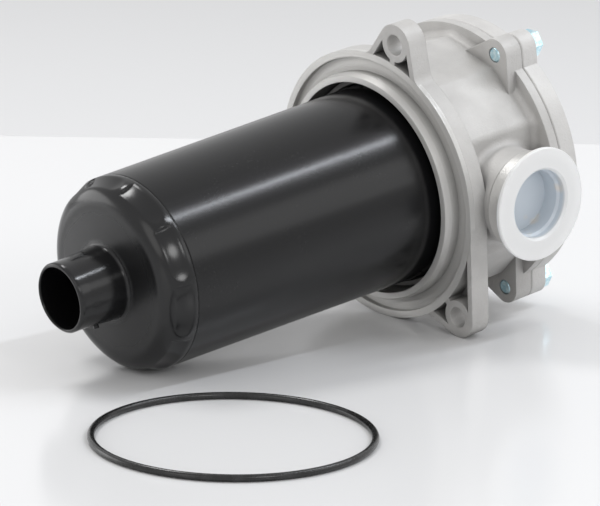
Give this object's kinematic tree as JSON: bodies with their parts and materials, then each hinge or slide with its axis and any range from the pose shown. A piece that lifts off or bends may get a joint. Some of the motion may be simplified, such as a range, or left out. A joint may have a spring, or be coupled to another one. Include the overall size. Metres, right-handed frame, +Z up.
{
  "type": "return line filter",
  "caption": "Tank-top hydraulic return line filter: die-cast flanged head with plugged side inlet, black bowl with outlet spigot, pleated element, loose flange seal.",
  "frame": {"origin": "centre of the tank flange's mounting face, on the filter's axis", "axes": "+X along the filter's axis from the bowl to the cover, the inlet port towards -Y, +Z up as the filter lies on a table"},
  "size_m": [0.3539, 0.2823, 0.1639],
  "materials": {
    "cast_aluminium": "fine shot-blasted die casting",
    "black_plastic": "satin black moulding",
    "black_rubber": "smooth black rubber",
    "clear_plug": "milky translucent moulding",
    "blue_zinc": "blue zinc plating",
    "element_steel": "tinned sheet steel",
    "filter_paper": "pleated resin-bound medium",
    "spring_steel": "oiled spring wire"
  },
  "bodies": {
    "filter": {"head": "cast_aluminium", "cover": "cast_aluminium", "cover_seal": "black_rubber", "cover_screws": "blue_zinc", "bowl": "black_plastic", "bowl_end": "black_plastic", "bowl_seal": "black_rubber", "flange_seal": "black_rubber", "element_top_cap": "element_steel", "element_bottom_cap": "element_steel", "element_media": "filter_paper", "element_core": "element_steel", "element_seal": "black_rubber", "bypass_retainer": "element_steel", "bypass_spring": "spring_steel", "hold_down_spring": "spring_steel"},
    "inlet_plug": {"inlet_plug": "clear_plug"},
    "bypass_poppet": {"bypass_poppet": "element_steel"}
  },
  "joints": [
    {"name": "plug_pull", "type": "slide", "parent": "filter", "child": "inlet_plug", "axis": [0, -1, 0], "range_m": [0, 0.02]},
    {"name": "bypass_slide", "type": "slide", "parent": "filter", "child": "bypass_poppet", "axis": [-1, 0, 0], "range_m": [0, 0.005], "stiffness_N_per_m": 3000, "springref_m": -0.004, "deforming": ["bypass_spring"]}
  ]
}
